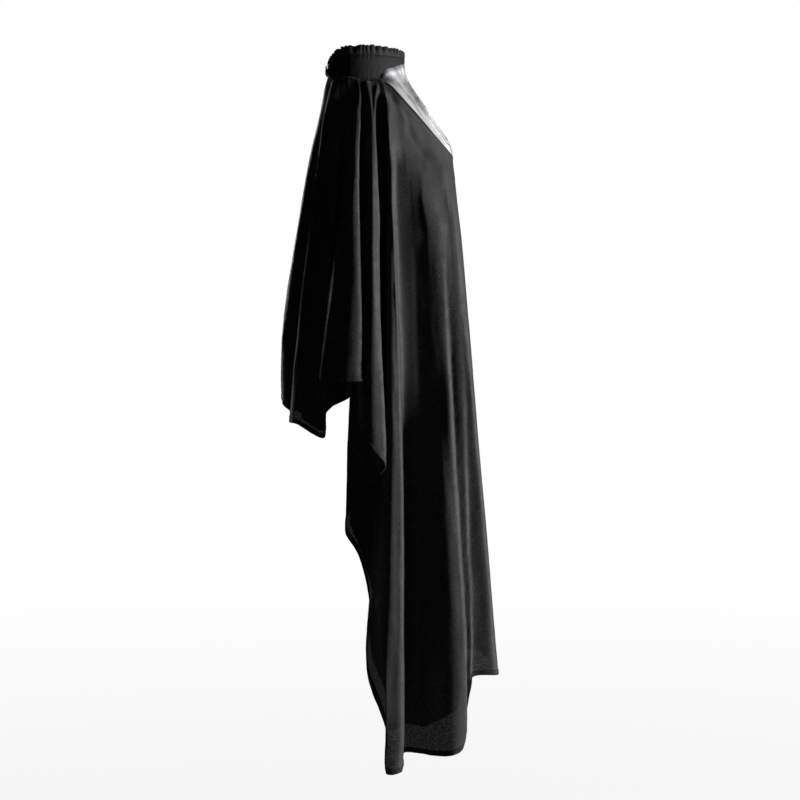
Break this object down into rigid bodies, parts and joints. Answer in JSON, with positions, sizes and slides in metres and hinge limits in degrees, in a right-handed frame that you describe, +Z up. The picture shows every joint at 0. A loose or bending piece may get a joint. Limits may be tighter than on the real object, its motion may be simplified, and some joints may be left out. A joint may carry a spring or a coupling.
{
  "type": "barber cape",
  "caption": "Black woven barber cape as worn, with a gathered elastic neckband, clear chest window, deep side folds, short split back and long front.",
  "frame": {"origin": "centre of the neck opening, half way up the grip lining of the neckband", "axes": "+X towards the wearer's front, +Y towards the wearer's left, +Z up along the neck"},
  "size_m": [0.3681, 0.4628, 1.1998],
  "materials": {
    "cape_cloth": "matte",
    "hem_cloth": "matte",
    "window_film": "clear, glossy",
    "binding_cloth": "matte",
    "neckband_cloth": "matte",
    "grip_lining": "matte",
    "elastic": "matte",
    "frill_cloth": "matte",
    "snap_metal": "satin",
    "snap_plastic": "gloss"
  },
  "bodies": {
    "cape_front": {"cape_panel": "cape_cloth", "cape_hem": "hem_cloth", "clear_window": "window_film", "window_binding": "binding_cloth", "neckband_front": "neckband_cloth", "grip_lining_front": "grip_lining", "elastic_front": "elastic", "frill_front": "frill_cloth"},
    "back_right": {"back_flap_right": "cape_cloth", "back_hem_right": "hem_cloth", "slit_facing_right": "hem_cloth", "neckband_back_right": "neckband_cloth", "grip_lining_back_right": "grip_lining", "elastic_back_right": "elastic", "frill_back_right": "frill_cloth"},
    "back_left": {"back_flap_left": "cape_cloth", "back_hem_left": "hem_cloth", "slit_facing_left": "hem_cloth", "neckband_back_left": "neckband_cloth", "grip_lining_back_left": "grip_lining", "elastic_back_left": "elastic", "frill_back_left": "frill_cloth", "snap_studs": "snap_metal", "snap_stud_backs": "snap_plastic"},
    "closing_tab": {"closure_tab": "neckband_cloth", "snap_sockets": "snap_metal", "snap_caps": "snap_plastic"}
  },
  "joints": [
    {"name": "back_right_open", "type": "hinge", "parent": "cape_front", "child": "back_right", "pos_m": [-0.052, -0.0435, 0], "axis": [0.1126, 0.1152, 0.9869], "range_deg": [0, 50]},
    {"name": "back_left_open", "type": "hinge", "parent": "cape_front", "child": "back_left", "pos_m": [-0.052, 0.0435, 0], "axis": [-0.1126, 0.1152, -0.9869], "range_deg": [0, 50]},
    {"name": "tab_open", "type": "hinge", "parent": "back_right", "child": "closing_tab", "pos_m": [-0.06784, -0.01641, 0], "axis": [0, 0, 1], "range_deg": [0, 150]}
  ],
  "couplings": [
    {"joint": "back_left_open", "follows": "back_right_open", "ratio": 1}
  ]
}
